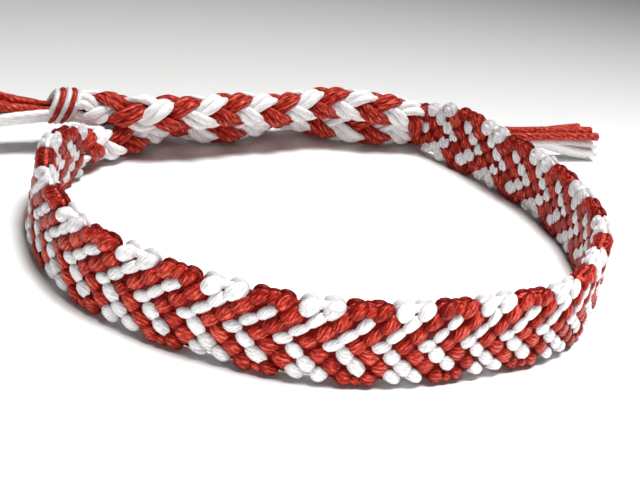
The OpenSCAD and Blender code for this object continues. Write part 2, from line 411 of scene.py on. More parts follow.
class Finish:
    """Base of all finishes. A finish makes its material once and then gives the same one."""

    label: str

    def material(self) -> bpy.types.Material:
        """Material of this finish, made the first time it is asked for."""
        found = bpy.data.materials.get(self.label)
        if found:
            return found
        made = bpy.data.materials.new(self.label)
        made.use_nodes = True
        made.node_tree.nodes.clear()
        self.build(made.node_tree)
        return made

    def build(self, tree: Tree) -> None:
        """Fill the material's node tree."""
        raise NotImplementedError

    def surface(
        self,
        tree: Tree,
        height: bpy.types.NodeSocket,
        relief: tuple[float, float],
        settings: dict,
        links: dict | None = None,
    ) -> None:
        """Raise the surface by a pattern of heights, shade it and give it out.

        Args:
            tree: Node tree of the material.
            height: Output socket of the pattern.
            relief: Strength of the bump, and its height in metres.
            settings: Values of the shader's sockets.
            links: Output socket for each linked socket of the shader.
        """
        strength, distance = relief
        bump = add_node(tree, "Bump", {"Strength": strength, "Distance": distance}, {"Height": height})
        wired = {"Normal": bump.outputs["Normal"], **(links or {})}
        shader = add_node(tree, "BsdfPrincipled", settings, wired)
        add_node(tree, "OutputMaterial", {}, {"Surface": shader.outputs["BSDF"]})


@dataclass(frozen=True)
class Floss(Finish):
    """Mercerised cotton floss: six loosely twisted plies of combed fibre, made smooth and silky in lye.

    The eye sees bright narrow streaks along each ply with dark grooves between them, and the colour paints
    them
    in as well: painted highlight on the crests and painted shade in the grooves. Light that is reflected has
    passed through the dyed fibres, so that the highlights have their colour too.
    """

    label: str
    groove: str
    body: str
    crest: str
    gloss: float = 0.4
    # Strength of the bump, and the height of a ply over the grooves beside it
    relief: tuple[float, float] = (0.8, 0.06 * MM)
    # Weight of the plies in the bump's height and in the colour, painted light on crests and shade in grooves
    ply_shade: float = 0.09
    # Shades at which the colours of the groove, the body and the crest are reached; the groove's is painted
    # shade and the crest's a painted highlight
    stops: tuple[float, float, float] = (0.4, 0.58, 0.8)
    # Fibres are 0.015 mm thick and drawn as tufts two fifths of a ply wide so that they show
    streaks: float = 2.5
    streak_len_mm: float = 0.6

    def build(self, tree: Tree) -> None:
        """Streaks along the plies from the ply map, painted lighter on crests and darker in grooves, with a
        soft silky sheen.
        """
        ply = add_node(tree, "UVMap", {"uv_map": "ply"})
        tone = add_node(tree, "Attribute", {"attribute_name": "tone"})
        # One wave of the texture is a ply wide: its sine has a period of pi / 10 at scale 1
        waves = {"bands_direction": "Y", "Scale": math.pi / 10, "Distortion": 2.5}
        waves |= {"Detail": 2.0, "Detail Scale": 1.0}
        plies = add_node(tree, "TexWave", waves, {"Vector": ply.outputs["UV"]})
        stretch = {"Scale": (1 / self.streak_len_mm, self.streaks, 1.0)}
        drawn = add_node(tree, "Mapping", stretch, {"Vector": ply.outputs["UV"]})
        tufts = {"Scale": 1.0, "Detail": 3.0, "Roughness": 0.6}
        fibres = add_node(tree, "TexNoise", tufts, {"Vector": drawn.outputs[0]})
        blend = {"operation": "MULTIPLY_ADD", 1: self.ply_shade}
        heights = {0: plies.outputs["Fac"], 2: fibres.outputs["Fac"]}
        shape = add_node(tree, "Math", blend, heights)
        shades = {0: shape.outputs[0], 1: tone.outputs["Fac"]}
        shade = add_node(tree, "Math", {"operation": "ADD"}, shades)
        # Painted shade in the grooves, the floss's own body colour, and painted highlight on the crests
        ramp = add_node(tree, "ValToRGB", {}, {"Fac": shade.outputs[0]})
        stops = ramp.color_ramp.elements
        stops[0].position, stops[0].color = self.stops[0], srgb(self.groove)
        stops[1].position, stops[1].color = self.stops[2], srgb(self.crest)
        stops.new(self.stops[1]).color = srgb(self.body)
        silk = {"Roughness": self.gloss, "IOR": 1.53, "Specular IOR Level": 0.4}
        silk |= {"Specular Tint": srgb(self.crest)}
        self.surface(tree, shape.outputs[0], self.relief, silk, {"Base Color": ramp.outputs["Color"]})


@dataclass(frozen=True)
class CoreCottonInPaintedShade(Finish):
    """Cotton floss at the bottom of the hollows between knots, crossed and pressed together.

    Its colours are painted shade, as little light reaches it: near-black red, or pinkish grey between white
    knots.
    """

    label: str = "cotton floss pressed between knots"
    # Painted shade colours, among red knots and among white ones
    red: str = "#640E09"
    white: str = "#857A7E"
    # Threads to the metre, which gives one for each third of a millimetre
    threads: float = 3000.0

    def build(self, tree: Tree) -> None:
        """Painted shade from the knots round each point, with the bumps of threads that cross."""
        tone = add_node(tree, "Attribute", {"attribute_name": "tone"})
        blend = {"data_type": "RGBA", 6: srgb(self.red), 7: srgb(self.white)}
        colour = add_node(tree, "Mix", blend, {"Factor": tone.outputs["Fac"]})
        place = add_node(tree, "TexCoord", {})
        threads = {"Scale": self.threads, "Detail": 2.0}
        grain = add_node(tree, "TexNoise", threads, {"Vector": place.outputs["Object"]})
        dull = {"Roughness": 0.85, "IOR": 1.53, "Specular IOR Level": 0.05}
        self.surface(tree, grain.outputs["Fac"], (0.7, 0.1 * MM), dull, {"Base Color": colour.outputs[2]})


@dataclass(frozen=True)
class PaperSweep(Finish):
    """Matt white photographer's paper, smooth and without grain at this distance."""

    label: str = "matt white paper"
    colour: str = "#F4F4F3"

    def build(self, tree: Tree) -> None:
        """Plain pale colour with a trace of mottle from the pulp."""
        place = add_node(tree, "TexCoord", {})
        pulp = add_node(tree, "TexNoise", {"Scale": 60.0}, {"Vector": place.outputs["Object"]})
        dull = {"Base Color": srgb(self.colour), "Roughness": 0.8}
        self.surface(tree, pulp.outputs["Fac"], (0.05, 0.1 * MM), dull)


# Groove colours are painted shade and crest colours painted highlights; the body colours are the floss's own
FLOSS = {
    Yarn.RED: Floss("red mercerised cotton floss", groove="#560907", body="#AC271C", crest="#F07A68"),
    Yarn.WHITE: Floss("white mercerised cotton floss", groove="#C4BFC2", body="#EFEDED", crest="#FBFAFA"),
}
SLOT = {Yarn.RED: "red_thread", Yarn.WHITE: "white_thread"}


def ply_rings(
    centre: Array,
    wide: Array,
    thin: Array,
    twist: Array,
    per_ply: int = PER_PLY,
    groove: float = 0.1,
) -> Array:
    """Rings of strings of floss.

    A point is the centre plus wide times cos(a) plus thin times sin(a), both times
    1 - groove + groove * |cos(PLIES * (a - twist) / 2)|, which gives a round crest for each ply and a sharp
    groove between two plies. The angles a start at the twist, so that a side keeps to its ply.

    Args:
        centre: Middles of the rings, string by ring.
        wide: Half of each ring's width, as a vector.
        thin: Half of each ring's thickness, as a vector.
        twist: Turn of the plies at each ring in radians.
        per_ply: Sides of a ring for each ply.
        groove: Depth of the grooves as a share of the radius.

    Returns:
        Points, string by ring by side.
    """
    step = np.arange(PLIES * per_ply) / per_ply
    angle = twist[..., None] + step * math.tau / PLIES
    radius = 1 - groove + groove * np.abs(np.cos(step * math.pi))
    across = wide[..., None, :] * (radius * np.cos(angle))[..., None]
    return centre[..., None, :] + across + thin[..., None, :] * (radius * np.sin(angle))[..., None]


def plies_round(per_ply: int = PER_PLY) -> Array:
    """Number of plies at each side of a ring, one more than there are sides."""
    return np.arange(PLIES * per_ply + 1) / per_ply


@dataclass(frozen=True)
class KnotShape:
    """Size in millimetres and lean in degrees of the knots in one part of a face.

    The half length runs along the knot's strings and the half width across them. The seat is the distance of
    its middle from the band's middle surface, the rise how far its crest stands above that, the tuck how much
    deeper than the middle one end lies, and the lean the angle between its strings and the band's length. The
    groove is the depth of the line between its two wraps, as a share of the rise.
    """

    half_len: float
    half_wide: float
    seat: float
    rise: float
    tuck: float
    lean: float
    groove: float


KNOT_SHAPES = {
    # Upper arms, apex and lower arms of the hearts, from the outer face
    (Face.OUTER, 1): KnotShape(1.16, 0.84, 0.46, 0.6, 0.16, 34, 0.04),
    (Face.OUTER, 0): KnotShape(1.02, 0.86, 0.46, 0.6, 0.06, 12, 0.04),
    (Face.OUTER, -1): KnotShape(1.12, 0.88, 0.46, 0.6, 0.16, -38, 0.04),
    # The inner face has its two wraps side by side, so that the knots stand nearly upright
    (Face.INNER, 1): KnotShape(1.1, 1.16, 0.42, 0.54, 0.12, 76, 0.3),
    (Face.INNER, 0): KnotShape(1.02, 1.14, 0.42, 0.54, 0.0, 90, 0.3),
    (Face.INNER, -1): KnotShape(1.02, 1.16, 0.42, 0.54, 0.12, 99, 0.3),
}

# Width of a white knot as a share of a red one's, in the lower arms, at the apex and in the upper arms
WHITE_WIDTHS = (0.88, 0.8, 0.74)
# Stations along a grain, and angles round it, closer together over its crest
GRAIN_T = np.array([-0.97, -0.8, -0.45, 0.0, 0.45, 0.8, 0.97])
GRAIN_SIDES = np.array([-20, 25, 62, 90, 118, 155, 200])
# How near each side is to the crest, where a grain's two wraps meet
GRAIN_CREST = np.exp(-(((GRAIN_SIDES - 90) / 16) ** 2))
# Painted shade: light reaches the crest of a grain and hardly its flanks and ends, so the colour is painted
# lighter on the crest and darker on the flanks and ends
GRAIN_LIGHT = np.cos(GRAIN_T * 1.25)[:, None] * np.clip(np.sin(np.radians(GRAIN_SIDES)), 0, 1)[None]
GRAIN_PAINTED_SHADE = 0.27 * (GRAIN_LIGHT - 0.72)
# Number of plies at each side, of which five show over a half turn
GRAIN_AROUND = np.concatenate([GRAIN_SIDES, [GRAIN_SIDES[0] + 360]]) / 180 * 5
# Plies that are crossed for each millimetre along a grain, since each string is twisted
KNOT_SLANT = 1.1
# Strings along an edge, a row for each number of red knots beside them: half thickness in millimetres, dip in
# places, and the painted shade that darkens the red ones
EDGE_STRINGS = np.array([[0.44, 0.0, 0.0], [0.26, 0.12, -0.14], [0.36, 0.26, -0.06]])


def grains(
    middle: Array,
    long_way: Array,
    cross_way: Array,
    rise: Array,
    tuck: Array,
    groove: Array,
) -> Array:
    """Plump grains, one for each knot.

    At t from -1 to 1 along a grain and the angle a round it, its point is its middle, plus its long way
    times t, plus its cross way times p cos(a), plus its rise times p sin(a) less the tuck times t, where p
    is (1 - |t|^2.8)^0.55. At its crest a groove makes it shallower, between its two wraps.

    Args:
        middle: Middles of the grains.
        long_way: Half of each grain's length, as a vector.
        cross_way: Half of each grain's width, as a vector.
        rise: Height of each grain's crest, as a vector.
        tuck: How much deeper the end at t = 1 lies than the middle, as a share of the rise.
        groove: Depth of the groove as a share of the rise.

    Returns:
        Points, grain by ring by side.
    """
    p = (1 - np.abs(GRAIN_T) ** 2.8) ** 0.55
    a = np.radians(GRAIN_SIDES)
    cut = 1 - groove[:, None] * GRAIN_CREST
    side = p[None, :, None] * (np.cos(a) * cut)[:, None, :]
    lift = p[None, :, None] * (np.sin(a) * cut)[:, None, :] - tuck[:, None, None] * GRAIN_T[None, :, None]
    rings = middle[:, None, None] + long_way[:, None, None] * GRAIN_T[None, :, None, None]
    return rings + cross_way[:, None, None] * side[..., None] + rise[:, None, None] * lift[..., None]


@dataclass
class Band:
    """The knotted band: its knots on both faces, the strings along its edges and the core in its hollows."""

    line: BandLine
    # Seeds of the random draws, for the faces and for the edges
    face_seed: int = 11
    edge_seed: int = 31
    # Spread of sizes as a share, of the lean on the faces and over the edges in radians, and of places
    size_spread: float = 0.06
    lean_spread: float = 0.09
    turn_spread: float = 0.12
    place_spread: float = 0.04 * MM
    # Core: half its thickness, the places by which it ends inside the edges, the square of the distance in
    # rows and places within which knots shade it, and the share of white ones from which it turns pale
    core_half: float = 0.74 * MM
    core_inset: float = 0.6
    core_reach: float = 0.8
    pale_from: float = 0.8
    # Share of its height to which the band is drawn together, so that its edge knots end at its edges
    drawn: float = 0.93
    # Number of the last row that is tied, which the pull brings back onto the band
    last_row: int = 122
    # Height by which the white knots of the lower edge are pulled up
    foot_lift: float = 0.2 * MM
    # Rows by which the strings pull the knots back: in the middle, less for each place away from it, and more
    # for each place below it
    pull_back: float = 0.9
    pull_arm: float = 0.16
    pull_down: float = 0.06
    # Sizes of knots at the edges, of white ones at the top edge, and of the grain where a red string turns,
    # which lies further out by some places
    edge_size: float = 0.87
    top_white_size: float = 1.06
    turn_size: float = 0.7
    turn_out: float = 0.12
    # Share of the band's narrowing at its ends that the knots follow
    follow: float = 0.7
    # Spread of the knots' random shades, and the painted shade that darkens the line between two wraps
    tone_spread: float = 0.03
    groove_painted_shade: float = 0.3
    # Millimetres of floss within which each knot's piece of it is picked
    floss_len: float = 50
    # Grain over an edge: half length across the band, half width and rise in millimetres, and its groove
    cap_half: tuple[float, float, float] = (1.02, 0.88, 0.46)
    cap_groove: float = 0.06
    # Painted light that makes such a grain lighter, the share it has of a knot's painted shade, and its size
    # where it lies between two knots
    cap_painted_light: float = 0.02
    cap_painted_shade_share: float = 0.3
    between_size: float = 0.88
    # Places by which the strings of an edge lie further out than its knots, and their width by thickness
    string_out: float = 0.14
    string_flat: float = 1.3
    # Turn of their plies in radians from knot to knot, and the depth of the grooves between those
    string_twist: float = 2.0
    string_groove: float = 0.12

    def pulled(self, row: Array, column: Array) -> Array:
        """Rows where the knots end up: the arms of hearts are drawn out, less so at the band's start."""
        off = column - self.line.columns // 2
        shift = self.pull_arm * np.abs(off) - self.pull_down * off - self.pull_back
        return np.minimum(row + shift * ease(row / 6), self.line.rows)

    def lattice(self) -> tuple[Array, Array, Array]:
        """Rows, columns and colours of all knots.

        Returns:
            The row and the column of each knot, and True where it is red.
        """
        chart = np.array([list(line) for line in HEART_CHART])
        row, column = np.meshgrid(np.arange(self.last_row + 1), np.arange(self.line.columns), indexing="ij")
        letter = chart[(row + FIRST_CHART_ROW) % len(HEART_CHART), column]
        knotted = letter != "."
        return row[knotted], column[knotted], letter[knotted] == Yarn.RED.value

    def drawn_in(self, column: Array) -> Array:
        """Places across the band, moved towards its middle by the share drawn."""
        half = self.line.columns // 2
        return half + (column - half) * self.drawn

    def knots(self, face: Face) -> None:
        """Knots of one face, a piece for each colour.

        Args:
            face: Face of the band that the knots are on.
        """
        rng = np.random.default_rng(self.face_seed + face.value)
        row, column, is_red = self.lattice()
        last = self.line.columns - 1
        # Where a red string turns at an edge, between two red knots, it makes one more grain
        ends = [(column == edge) & is_red for edge in (0, last)]
        turns = [row[mine][np.isin(row[mine] + 2, row[mine])] + 1 for mine in ends]
        extra = len(turns[0]) + len(turns[1])
        row = np.concatenate([row, *turns])
        beyond = [np.full(len(turns[0]), -self.turn_out), np.full(len(turns[1]), last + self.turn_out)]
        column = np.concatenate([column, *beyond])
        is_red = np.concatenate([is_red, np.ones(extra, bool)])
        count = len(row)
        off = column - self.line.columns // 2
        row = self.pulled(row, column)
        arm = -np.sign(off)
        shapes = [KNOT_SHAPES[(face, side)] for side in arm.tolist()]
        table = np.array([astuple(shape) for shape in shapes]).T
        half_len, half_wide, seat, high, tuck = table[:5] * MM
        lean, groove = table[5:]
        middle = self.line.place(row, self.drawn_in(column), seat * face.value)
        top_white, foot_white = (~is_red & (column == edge) for edge in (0, last))
        middle[..., 2] += np.where(foot_white, self.foot_lift, 0)
        _, out, up, height = self.line.frame(row * self.line.length / self.line.rows)
        along = np.cross(up, out)
        narrow = mix(1.0, height[:, 0] / self.line.height, self.follow)
        narrow = narrow * np.repeat([1, self.turn_size], [count - extra, extra])
        # Knots at the edges are pulled tighter, less so the white ones of the top edge, which merge
        at_edge = np.abs(off) > last / 2 - 0.5
        narrow = narrow * np.where(at_edge, self.edge_size, 1) * np.where(top_white, self.top_white_size, 1)
        lean = np.radians(lean) + rng.normal(0, self.lean_spread, count)
        half_len = half_len * rng.normal(1, self.size_spread, count) * narrow
        half_wide = half_wide * rng.normal(1, self.size_spread, count) * narrow
        white_width = np.choose((arm + 1).astype(int), WHITE_WIDTHS)
        half_wide = half_wide * np.where(is_red | top_white, 1, white_width)
        high = high * rng.normal(1, self.size_spread, count)
        cos, sin = np.cos(lean)[:, None], np.sin(lean)[:, None]
        stray = rng.normal(0, self.place_spread, (count, 2))
        middle = middle + along * stray[:, :1] + up * stray[:, 1:]
        rings = grains(
            middle,
            (along * cos + up * sin) * half_len[:, None],
            (up * cos - along * sin) * half_wide[:, None],
            out * face.value * high[:, None],
            tuck / high,
            groove,
        )
        # The paper pushes up the lowest ones
        rings[..., 2] -= np.minimum(rings[..., 2].min((1, 2)), 0)[:, None, None]
        if face is Face.INNER:
            rings = rings[:, :, ::-1]
        reach = GRAIN_T[None, :] * half_len[:, None] / MM + rng.uniform(0, self.floss_len, (count, 1))
        # Random shade, with painted shade: a lighter crest, darker flanks and ends, darker line between wraps
        tone = rng.normal(0, self.tone_spread, count)[:, None, None] + GRAIN_PAINTED_SHADE
        tone = tone - self.groove_painted_shade * groove[:, None, None] * GRAIN_CREST[None, None]
        for yarn in Yarn:
            pick = is_red == (yarn is Yarn.RED)
            weft = Weft(f"band_knots_{face.name.lower()}_{yarn.name.lower()}")
            weft.tubes(rings[pick], reach[pick], GRAIN_AROUND, tone[pick], slant=KNOT_SLANT)
            weft.weave(FLOSS[yarn], SLOT[yarn])

    def edges(self) -> None:
        """Strings of the two edges, a piece for each colour.

        A grain lies over the edge at each edge knot, across the band's thickness, and one between two red
        ones. A string passes along the edge between them: from t 0 to 1 it goes two rows on, and draws in by
        a dip times sin(pi t). Between two white knots it is thick and straight at the top edge, with a small
        hole below it, and there is none at the lower edge. Where the colour changes it is a thin red one.
        """
        rng = np.random.default_rng(self.edge_seed)
        row, column, is_red = self.lattice()
        t = np.linspace(0, 1, 7)
        half_len, half_wide, rise = self.cap_half
        for yarn in Yarn:
            weft = Weft(f"band_edge_{yarn.name.lower()}")
            red = yarn is Yarn.RED
            for edge, inward in ((0, 1), (self.line.columns - 1, -1)):
                rows, reds = row[column == edge], is_red[column == edge]
                at = rows[reds == red].astype(float)
                between = at[np.isin(at + 2, at)] + 1 if red else at[:0]
                small = np.repeat([1, self.between_size], [len(at), len(between)])
                count = len(small)
                across = edge - inward * mix(self.turn_out, 1, 1 - small)
                spots = self.pulled(np.concatenate([at, between]), across)
                _, out, up, _ = self.line.frame(spots * self.line.length / self.line.rows)
                middle = self.line.place(spots, self.drawn_in(across), np.zeros(count))
                middle[..., 2] += 0 if red or inward > 0 else self.foot_lift
                turn = rng.normal(0, self.turn_spread, (count, 1))
                along = np.cross(up, out)
                size = (rng.normal(1, self.size_spread, count) * small)[:, None] * MM
                caps = grains(
                    middle,
                    (out * np.cos(turn) + along * np.sin(turn)) * size * half_len,
                    (along * np.cos(turn) - out * np.sin(turn)) * size * half_wide,
                    up * inward * size * rise,
                    np.zeros(count),
                    np.full(count, self.cap_groove),
                )
                if inward < 0:
                    caps = caps[:, :, ::-1]
                reach = GRAIN_T[None, :] + rng.uniform(0, self.floss_len, (count, 1))
                # Random shade about the painted light, with part of a knot's painted shade
                tone = rng.normal(self.cap_painted_light, self.tone_spread, count)[:, None, None]
                tone = tone + GRAIN_PAINTED_SHADE * self.cap_painted_shade_share
                weft.tubes(caps, reach, GRAIN_AROUND, tone, slant=KNOT_SLANT)

                beside = reds[1:].astype(int) + reds[:-1]
                mine = ((beside > 0) == red) & ((beside > 0) | (inward > 0))
                # Painted shade of each string, which darkens the red ones
                radius, dip, shade = EDGE_STRINGS[beside[mine]].T
                across = edge + inward * (dip[:, None] * np.sin(math.pi * t) - self.string_out)
                where = self.pulled(rows[:-1][mine][:, None] + 2 * t, across)
                centre = self.line.place(where, self.drawn_in(across), 0 * where)
                _, out, up, _ = self.line.frame(where * self.line.length / self.line.rows)
                thick = radius[:, None, None] * MM
                twist = np.broadcast_to(t * self.string_twist, where.shape)
                wide = out * thick * self.string_flat
                rings = ply_rings(centre, wide, up * thick, twist, 2, self.string_groove)
                reach = where * self.line.row_pitch / MM
                weft.tubes(rings[:, :, ::-1], reach, plies_round(2), shade)
            weft.weave(FLOSS[yarn], SLOT[yarn])

    def core(self) -> None:
        """Core of crossing strings, a flat tube inside the knots, painted in shade from the colours of the
        knots round each point.

        Its section is a rounded box: at the angle a, |cos(a)|^0.7 of its half height across and |sin(a)|^0.5
        of its half thickness outwards. Its painted shade turns pale, but for its edges, where more than four
        fifths of the knots round a point are white, weighed by how near they are; at its edges it stays dark
        red.
        """
        row, column, is_red = self.lattice()
        stations = np.arange(0, self.line.rows + 0.01, 0.5)
        half = self.line.columns / 2
        a = np.arange(20) / 20 * math.tau
        across = np.sign(np.cos(a)) * np.abs(np.cos(a)) ** 0.7 * (half - self.core_inset)
        proud = np.sign(np.sin(a)) * np.abs(np.sin(a)) ** 0.5 * self.core_half
        where = np.broadcast_to(stations[:, None], (len(stations), len(a)))
        seat = np.broadcast_to(half - 0.5 + across[None], where.shape)
        rings = self.line.place(where, seat, np.broadcast_to(proud[None], where.shape))
        ahead, aside = where[..., None] - self.pulled(row, column), seat[..., None] - self.drawn_in(column)
        weight = np.exp(-(ahead**2 + aside**2) / self.core_reach)
        whiteness = (weight * ~is_red).sum(-1) / weight.sum(-1)
        # Painted shade: the core stays dark at its edges, where holes between the edge knots show
        inside = ease((half - 0.7 - np.abs(across)) / 0.6)
        whiteness = ease((whiteness - self.pale_from) / (1 - self.pale_from)) * inside[None]
        weft = Weft("band_core")
        # Turned the other way round, so that its faces point outwards
        weft.tubes(rings[None, :, ::-1], where[None, :, 0], np.arange(len(a) + 1.0), np.zeros(1))
        weft.tones_and_shades[0] = whiteness[:, ::-1].ravel()
        weft.weave(CoreCottonInPaintedShade(), "knotted_thread", "band")

    def build(self) -> None:
        """Make all pieces of the band."""
        self.core()
        for face in Face:
            self.knots(face)
        self.edges()


@dataclass
class Braid:
    """Round braid of eight ribbons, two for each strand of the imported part, from the band to its tails."""

    name: str
    line: BandLine
    table: Array
    tails: Array
    knot_row: int
    band_end: float
    way: int
    twist: tuple[float, float, float]
    gather: float
    # Turn in degrees at which the first ribbon of each strand starts
    offsets: tuple[float, float, float, float]
    knot_node: str
    end_gap: float = 0.2 * MM
    strand_t: float = 0.88 * MM
    strand_gap: float = 0.2 * MM
    braid_lay: float = 7 * MM
    # Width and thickness of a string, and the shares of them that are left where its ribbon passes inside
    string_w: float = 1.16 * MM
    string_t: float = 0.98 * MM
    pressed_w: float = 0.62
    pressed_t: float = 0.85
    # Distance of a string from its ribbon's middle as a share of its half width, braided and in the tails
    apart_braid: float = 0.86
    apart_tail: float = 0.74
    # In the tails a string swells to this share of its thickness within this length
    loose_t: float = 1.2
    loose_len: float = 2 * MM
    # Length by which every second string is cut shorter
    tip_step: float = 0.9 * MM
    # Painted light and shade: strings are lighter where they lie outside and darker inside, and white ones
    # lighter still, twice so in the tails
    outer_painted_light: float = 0.14
    white_painted_light: float = 0.08
    # Share of the radius by which the ribbons swing in and out
    swing_share: float = 0.53
    knot_len: float = 3.4 * MM
    knot_d: float = 4.6 * MM
    knot_lead: float = 1 * MM
    knot_pinch: float = 0.16
    twist_span: float = 0.24
    # Share of the gathered length in which the strings really gather; the first crossings are in the rest
    gather_share: float = 0.45
    # Share of the band's height over which the strings start side by side
    fan_share: float = 0.9
    # Share by which a ribbon's turn round the braid slows while it lies outside
    lag: float = 0.3
    # Length in which the plies of a string turn once round it
    ply_lay: float = 8 * MM
    ring_step: float = 0.35 * MM
    # Length of string that reaches back between the last knots of the band
    root_len: float = 1.2 * MM
    # Wraps of the knot: number and spacing, depth of the middle one and how much deeper the next one lies,
    # lean of their planes in degrees, and half of a string's width and thickness
    wraps: int = 5
    wrap_pitch: float = 0.62 * MM
    wrap_seat: float = 0.6 * MM
    waist: float = 0.05 * MM
    wrap_lean: float = 24
    wrap_w: float = 0.34 * MM
    wrap_t: float = 0.46 * MM

    def __post_init__(self) -> None:
        """Make the braid's middle line and count its quarter turns."""
        start = np.array([self.band_end])
        foot, _, up, height = self.line.frame(start)
        first = foot + up * height / 2 + self.line.tangent(start) * self.way * self.end_gap
        angle, share, high = self.table.T
        self.path = Path(np.vstack([first, self.line.on_loop(angle, share, high * self.line.height)]))
        self.knot_at = self.path.lengths[(self.knot_row + 1) * CURVE_STEPS]
        self.braided = self.knot_at - self.knot_len / 2 - self.knot_lead - self.gather
        self.quarters = round(self.braided / self.braid_lay * 4)
        self.orbit = self.strand_t + self.strand_gap
        self.swing = self.orbit * self.swing_share

    def axes(self, s: Array) -> tuple[Array, Array, Array, Array]:
        """Place on the middle line and the directions along it, away from the loop's middle, and up."""
        reach = 0.3 * MM
        s = np.clip(s, 0, self.path.total)
        point = self.path.at(s)
        before, after = (self.path.at(np.clip(s + d, 0, self.path.total)) for d in (-reach, reach))
        tangent = unit(after - before)
        out = unit(np.stack([tangent[..., 1], -tangent[..., 0], 0 * s], -1)) * self.way
        return point, tangent, out, np.cross(out, tangent) * self.way

    def phase(self, s: Array) -> Array:
        """Turn of the braiding in radians, a quarter for each crossing."""
        return np.radians(45 + 90 * self.quarters * np.minimum((s - self.gather) / self.braided, 1))

    @staticmethod
    def sense(ribbon: int) -> int:
        """Way that a ribbon goes round the braid, 1 or -1."""
        return 1 if ribbon % 4 < 2 else -1

    def turned(self, ribbon: int, s: Array) -> Array:
        """Turn of a ribbon round the braid in radians, half of the braiding's, before the lag."""
        start = math.radians(self.offsets[ribbon % 4] + 180 * (ribbon // 4))
        return self.sense(ribbon) * self.phase(s) / 2 + start

    def outward(self, ribbon: int, s: Array) -> Array:
        """Way out of a ribbon, from -1 inside the others to 1 outside them: plus or minus cos(2 * turn)."""
        return self.sense(ribbon) * np.cos(2 * self.turned(ribbon, s))

    def spot(self, ribbon: int, s: Array) -> Array:
        """Place of a ribbon across the braid, outwards and upwards.

        Four ribbons go round one way and four the other, at a radius of orbit + swing * way out, so that each
        passes outside two others and then inside two. The lag, a share of sin(2 * turn) / 2, slows each
        ribbon's turn while it lies outside.
        """
        turned = self.turned(ribbon, s)
        start, end, share = self.twist
        twist = np.radians(mix(start, end, ease((s / self.knot_at - share) / self.twist_span + 0.5)))
        angle = turned - self.sense(ribbon) * self.lag * np.sin(2 * turned) / 2 + twist
        pinch = 1 - self.knot_pinch * ease((s - self.gather - self.braided) / (self.knot_lead * 0.8))
        radius = pinch * (self.orbit + self.swing * self.outward(ribbon, s))
        return np.stack([np.cos(angle), np.sin(angle)], -1) * radius[..., None]

    def ribbon(self, ribbon: int, s: Array) -> tuple[Array, Array]:
        """Middle of a ribbon and the direction of its thin side.

        Args:
            ribbon: Number of the ribbon from 0 to 7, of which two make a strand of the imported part.
            s: Lengths along the braid's middle line.

        Returns:
            Its middle and its thin direction.
        """
        point, _, out, up = self.axes(s)
        spot = self.spot(ribbon, s)
        radial = unit(out * spot[..., :1] + up * spot[..., 1:])
        braided = point + out * spot[..., :1] + up * spot[..., 1:]
        _, face, rise, height = self.line.frame(np.array([self.band_end]))
        starts = [self.spot(k, np.zeros(1))[0, 1] for k in range(8)]
        order = sum(value < starts[ribbon] for value in starts)
        fan = point + rise * height * ((order + 0.5) / 8 - 0.5) * self.fan_share
        gather = self.gather * self.gather_share
        gathered = ease(s / gather)[..., None]
        side = face * np.sign((radial * face).sum(-1, keepdims=True))
        after = self.knot_at + self.knot_len / 2
        spread = ease((s - after) / (self.path.total - after))[..., None]
        aside, above, _ = self.tails[ribbon % 4] * self.line.height
        tip = point + out * aside + up * above
        middle = np.where((s < gather)[..., None], mix(fan, braided, gathered), mix(braided, tip, spread))
        thin = np.where((s < gather)[..., None], unit(mix(side, radial, gathered)), radial)
        return middle, thin

    def strings(self, strand: int) -> None:
        """Strings of a strand, from between the band's last knots to their cut ends.

        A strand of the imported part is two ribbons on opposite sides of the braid, and each ribbon is two
        strings side by side, pressed flatter where they pass inside. Those of the second ribbon end inside
        the knot.

        Args:
            strand: Number of the strand from 0 to 3.
        """
        label = f"{self.name}_{STRANDS[strand]}"
        yarn = Yarn[STRANDS[strand].split("_")[0].upper()]
        after = self.knot_at + self.knot_len / 2
        first = self.line.tangent(np.array([self.band_end])) * self.way
        weft = Weft(f"strings_{label}")
        for k, (half, hand) in enumerate(((0, -1), (0, 1), (1, -1), (1, 1))):
            ribbon = strand + len(STRANDS) * half
            tip = mix(after, self.path.total, self.tails[strand][2]) - self.tip_step * ((k + strand) % 2)
            end = self.knot_at if half else tip
            s = np.linspace(-self.root_len, end, round((end + self.root_len) / self.ring_step))
            middle, thin = self.ribbon(ribbon, s)
            outside = (1 + self.outward(ribbon, s)) / 2
            tangent = unit(np.gradient(middle, axis=0))
            middle = middle + first * np.minimum(s, 0)[:, None]
            tangent = np.where((s < self.end_gap)[:, None], first, tangent)
            thin = unit(thin - tangent * (thin * tangent).sum(-1, keepdims=True))
            wide = np.cross(thin, tangent)
            loose = ease((s - after) / self.loose_len)
            # Half as wide at its root, and full where half of the gathered length is passed
            rooted = mix(0.5, 1, ease(s / self.gather * 1.6 + 0.2))
            half_w = self.string_w / 2 * mix(mix(self.pressed_w, 1, outside), 1, loose) * rooted
            half_t = self.string_t / 2 * mix(mix(self.pressed_t, 1, outside), self.loose_t, loose)
            apart = half_w * mix(self.apart_braid, self.apart_tail, loose)
            centre = middle + wide * (hand * apart)[:, None]
            turn = s / self.ply_lay * math.tau + strand + 2 * k
            rings = ply_rings(centre, wide * half_w[:, None], thin * half_t[:, None], turn)
            # Painted shade inside the braid and painted light outside and in the tails, more for white
            # strings
            tone = self.outer_painted_light * (np.maximum(outside, loose) - 0.7)
            tone = tone + (self.white_painted_light + self.white_painted_light * loose) * (yarn is Yarn.WHITE)
            weft.tubes(rings[None], s[None] / MM, plies_round(), tone[None])
        weft.weave(FLOSS[yarn], SLOT[yarn], f"braid_{label}")

